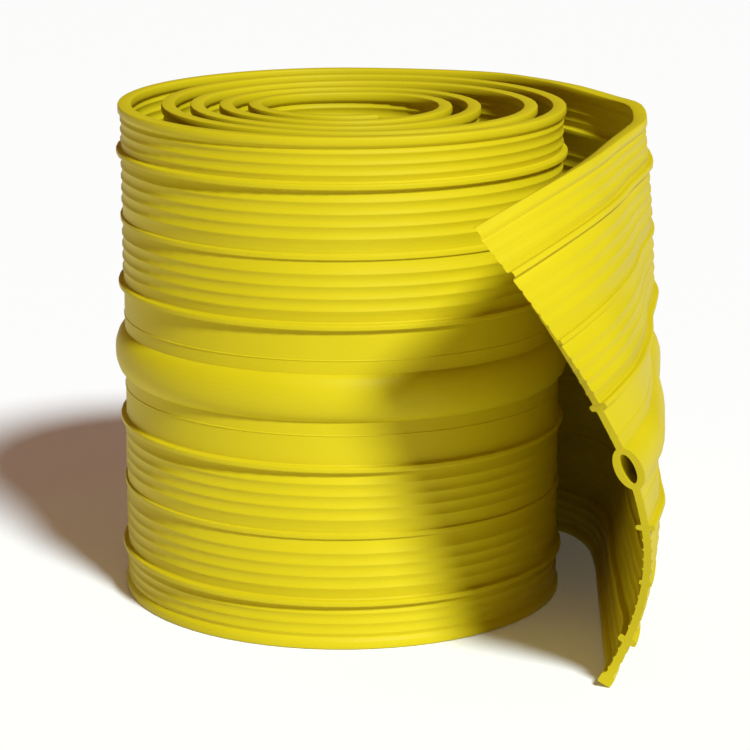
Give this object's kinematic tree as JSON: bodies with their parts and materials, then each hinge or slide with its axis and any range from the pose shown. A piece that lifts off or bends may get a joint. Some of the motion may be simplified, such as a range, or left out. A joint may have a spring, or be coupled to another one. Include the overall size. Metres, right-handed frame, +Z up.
{
  "type": "pvc waterstop",
  "caption": "Loose coil of flexible yellow PVC centre-bulb waterstop strip standing on its edge, free end pulled open to show the ribbed section.",
  "frame": {"origin": "middle of the footprint of the coil and its free end, on the floor that the strip's lower edge rests on", "axes": "+Z up along the coil's axis; +Y from the free end's cut towards the back of the coil; +X towards the side where the free end stands off the coil"},
  "size_m": [0.3538, 0.441, 0.3202],
  "materials": {
    "pvc": "satin"
  },
  "bodies": {
    "root": {"waterstop_strip": "pvc"}
  },
  "joints": []
}
